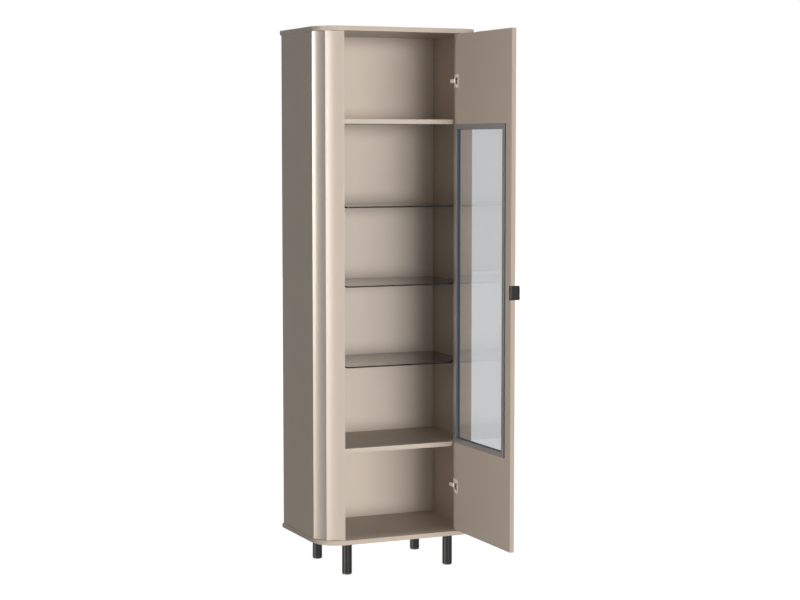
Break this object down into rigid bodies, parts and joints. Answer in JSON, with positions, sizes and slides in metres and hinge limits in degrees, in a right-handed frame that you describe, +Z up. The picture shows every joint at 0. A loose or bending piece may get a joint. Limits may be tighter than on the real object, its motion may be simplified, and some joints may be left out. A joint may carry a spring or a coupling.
{
  "type": "display cabinet",
  "caption": "Tall display cabinet with fluted round corners, black legs, solid and tinted glass shelves, and a lacquered door with a framed window on concealed hinges",
  "frame": {"origin": "on the floor, under the middle of the outline of the cabinet with its door standing open at a right angle", "axes": "+Z up, -Y out of the front, +X to the right of someone who faces the front"},
  "size_m": [0.62, 0.804, 1.9],
  "materials": {
    "lacquer": "satin greige lacquer on board",
    "tinted_glass": "grey tinted, polished edges",
    "grey_aluminium": "dark grey anodised",
    "bright_metal": "nickel plated",
    "black_metal": "satin black",
    "black_plastic": "moulded",
    "black_rubber": "extruded",
    "bare_wood": "turned beech"
  },
  "bodies": {
    "cabinet": {"top_board": "lacquer", "bottom_board": "lacquer", "left_side_panel": "lacquer", "right_side_panel": "lacquer", "left_pilaster": "lacquer", "right_pilaster": "lacquer", "back_panel": "lacquer", "lower_fixed_shelf": "lacquer", "upper_fixed_shelf": "lacquer", "lower_glass_shelf": "tinted_glass", "middle_glass_shelf": "tinted_glass", "upper_glass_shelf": "tinted_glass", "shelf_supports": "bright_metal", "dowels": "bare_wood", "front_left_leg": "black_metal", "front_right_leg": "black_metal", "back_left_leg": "black_metal", "back_right_leg": "black_metal", "leg_glides": "black_plastic", "hinge_arms": "bright_metal", "hinge_mounting_plates": "bright_metal", "hinge_plate_screws": "bright_metal"},
    "door": {"door_panel": "lacquer", "window_frame_top": "grey_aluminium", "window_frame_bottom": "grey_aluminium", "window_frame_handle_side": "grey_aluminium", "window_frame_hinge_side": "grey_aluminium", "door_glass": "tinted_glass", "glass_gasket": "black_rubber", "window_corner_keys": "black_plastic", "hinge_cups": "bright_metal", "hinge_pins": "bright_metal", "door_pull": "black_metal", "door_pull_screws": "black_metal"}
  },
  "joints": [
    {"name": "door_hinge", "type": "hinge", "parent": "cabinet", "child": "door", "pos_m": [0.21297, 0.02603, 0.9], "axis": [0, 0, 1], "range_deg": [-90, 15]}
  ]
}
